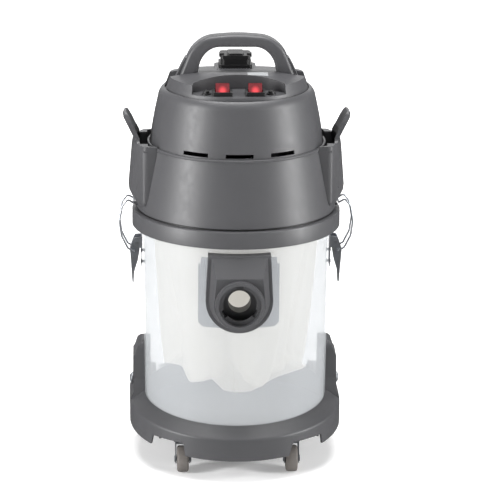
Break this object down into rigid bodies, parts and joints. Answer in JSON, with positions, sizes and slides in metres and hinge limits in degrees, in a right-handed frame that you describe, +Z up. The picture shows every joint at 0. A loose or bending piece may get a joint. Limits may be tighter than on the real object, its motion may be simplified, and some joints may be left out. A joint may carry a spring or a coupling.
{
  "type": "wet and dry vacuum cleaner",
  "caption": "Upright wet and dry vacuum cleaner: a translucent tank on a castor trolley, clamped under a lift-off motor head with rocker switches, a socket and a carry handle.",
  "frame": {"origin": "on the floor, at the middle of the base of the bounding box, which is under the tank's axis", "axes": "+Z up; -Y towards the front, where the hose inlet and the switches are; +X to the right of someone who looks at the front"},
  "size_m": [0.4412, 0.456, 0.8115],
  "materials": {
    "grey_plastic": "moulded mid grey, fine satin grain",
    "black_plastic": "moulded black, satin",
    "blue_plastic": "bluish grey, matt",
    "float_plastic": "natural white, matt",
    "tank_plastic": "translucent natural white, glossy",
    "red_lens": "clear red, lit from inside",
    "zinc_plate": "bright zinc plated",
    "steel": "plain turned steel",
    "tyre_rubber": "warm grey soft rubber",
    "seal_rubber": "black foam rubber",
    "filter_cloth": "undyed cream cotton",
    "motor_metal": "pressed aluminium",
    "label_foil": "satin foil, blank"
  },
  "bodies": {
    "root": {"trolley_base": "grey_plastic", "castor_sockets": "steel", "rear_axle": "steel", "axle_caps": "zinc_plate", "tank": "tank_plastic", "tank_collar": "grey_plastic", "tank_screws": "zinc_plate", "screw_washers": "black_plastic", "inlet_port": "grey_plastic", "inlet_gasket": "seal_rubber", "inlet_backing_plate": "blue_plastic", "inlet_screws": "zinc_plate", "clamp_brackets": "zinc_plate", "bracket_rivets": "zinc_plate", "clamp_pins": "steel"},
    "filter": {"filter_ring": "black_plastic", "cloth_filter": "filter_cloth"},
    "head": {"head_lower_body": "grey_plastic", "lift_grip_left": "grey_plastic", "lift_grip_right": "grey_plastic", "head_dome": "grey_plastic", "switch_cover": "grey_plastic", "cover_screws": "zinc_plate", "carry_handle": "grey_plastic", "head_gasket": "seal_rubber", "motor_plate": "grey_plastic", "motor_casing_left": "motor_metal", "motor_casing_right": "motor_metal", "motor_gaskets": "seal_rubber", "float_cage": "black_plastic", "switch_bezels": "black_plastic", "breaker_bodies": "black_plastic", "socket_base": "black_plastic", "lid_pin": "steel", "cable_gland": "black_plastic", "rating_plate": "label_foil"},
    "float": {"float": "float_plastic"},
    "socket_lid": {"socket_lid": "black_plastic"},
    "castor_left": {"castor_fork_left": "zinc_plate", "castor_axle_left": "steel"},
    "castor_wheel_left": {"castor_tyre_left": "tyre_rubber", "castor_hub_left": "black_plastic"},
    "rear_wheel_left": {"rear_tyre_left": "tyre_rubber", "rear_hub_left": "grey_plastic"},
    "lever_left": {"clamp_lever_left": "zinc_plate"},
    "bail_left": {"clamp_bail_left": "zinc_plate"},
    "rotor_left": {"motor_rotor_left": "motor_metal"},
    "rocker_left": {"rocker_left": "red_lens"},
    "button_left": {"reset_button_left": "black_plastic"},
    "castor_right": {"castor_fork_right": "zinc_plate", "castor_axle_right": "steel"},
    "castor_wheel_right": {"castor_tyre_right": "tyre_rubber", "castor_hub_right": "black_plastic"},
    "rear_wheel_right": {"rear_tyre_right": "tyre_rubber", "rear_hub_right": "grey_plastic"},
    "lever_right": {"clamp_lever_right": "zinc_plate"},
    "bail_right": {"clamp_bail_right": "zinc_plate"},
    "rotor_right": {"motor_rotor_right": "motor_metal"},
    "rocker_right": {"rocker_right": "red_lens"},
    "button_right": {"reset_button_right": "black_plastic"}
  },
  "joints": [
    {"name": "filter_lift", "type": "slide", "parent": "root", "child": "filter", "axis": [0, 0, 1], "range_m": [0, 0.32]},
    {"name": "head_lift", "type": "slide", "parent": "filter", "child": "head", "axis": [0, 0, 1], "range_m": [0, 0.3]},
    {"name": "castor_swivel_left", "type": "hinge", "parent": "root", "child": "castor_left", "pos_m": [-0.102, -0.114, 0.07], "axis": [0, 0, 1], "continuous": true},
    {"name": "castor_roll_left", "type": "hinge", "parent": "castor_left", "child": "castor_wheel_left", "pos_m": [-0.102, -0.13, 0.025], "axis": [1, 0, 0], "continuous": true},
    {"name": "rear_roll_left", "type": "hinge", "parent": "root", "child": "rear_wheel_left", "pos_m": [-0.161, 0.168, 0.06], "axis": [1, 0, 0], "continuous": true},
    {"name": "clamp_left", "type": "hinge", "parent": "root", "child": "lever_left", "pos_m": [-0.187, 0, 0.414], "axis": [0, 1, 0], "range_deg": [0, 120]},
    {"name": "bail_swing_left", "type": "hinge", "parent": "lever_left", "child": "bail_left", "pos_m": [-0.192, 0, 0.398], "axis": [0, 1, 0], "range_deg": [-180, 0]},
    {"name": "motor_spin_left", "type": "hinge", "parent": "head", "child": "rotor_left", "pos_m": [-0.076, 0, 0.58], "axis": [0, 0, 1], "continuous": true},
    {"name": "rocker_tip_left", "type": "hinge", "parent": "head", "child": "rocker_left", "pos_m": [-0.03, -0.101, 0.722], "axis": [-1, 0, 0], "range_deg": [0, 22]},
    {"name": "button_press_left", "type": "slide", "parent": "head", "child": "button_left", "axis": [0, 0, -1], "range_m": [0, 0.0025], "stiffness_N_per_m": 800},
    {"name": "castor_swivel_right", "type": "hinge", "parent": "root", "child": "castor_right", "pos_m": [0.102, -0.114, 0.07], "axis": [0, 0, 1], "continuous": true},
    {"name": "castor_roll_right", "type": "hinge", "parent": "castor_right", "child": "castor_wheel_right", "pos_m": [0.102, -0.13, 0.025], "axis": [1, 0, 0], "continuous": true},
    {"name": "rear_roll_right", "type": "hinge", "parent": "root", "child": "rear_wheel_right", "pos_m": [0.161, 0.168, 0.06], "axis": [1, 0, 0], "continuous": true},
    {"name": "clamp_right", "type": "hinge", "parent": "root", "child": "lever_right", "pos_m": [0.187, 0, 0.414], "axis": [0, -1, 0], "range_deg": [0, 120]},
    {"name": "bail_swing_right", "type": "hinge", "parent": "lever_right", "child": "bail_right", "pos_m": [0.192, 0, 0.398], "axis": [0, -1, 0], "range_deg": [-180, 0]},
    {"name": "motor_spin_right", "type": "hinge", "parent": "head", "child": "rotor_right", "pos_m": [0.076, 0, 0.58], "axis": [0, 0, 1], "continuous": true},
    {"name": "rocker_tip_right", "type": "hinge", "parent": "head", "child": "rocker_right", "pos_m": [0.03, -0.101, 0.722], "axis": [-1, 0, 0], "range_deg": [0, 22]},
    {"name": "button_press_right", "type": "slide", "parent": "head", "child": "button_right", "axis": [0, 0, -1], "range_m": [0, 0.0025], "stiffness_N_per_m": 800},
    {"name": "lid_hinge", "type": "hinge", "parent": "head", "child": "socket_lid", "pos_m": [0, 0.119, 0.75], "axis": [-1, 0, 0], "range_deg": [0, 110], "stiffness_Nm_per_rad": 0.05},
    {"name": "float_rise", "type": "slide", "parent": "head", "child": "float", "axis": [0, 0, 1], "range_m": [0, 0.023]}
  ],
  "couplings": [
    {"joint": "bail_swing_left", "follows": "clamp_left", "ratio": -1.5},
    {"joint": "bail_swing_right", "follows": "clamp_right", "ratio": -1.5}
  ]
}
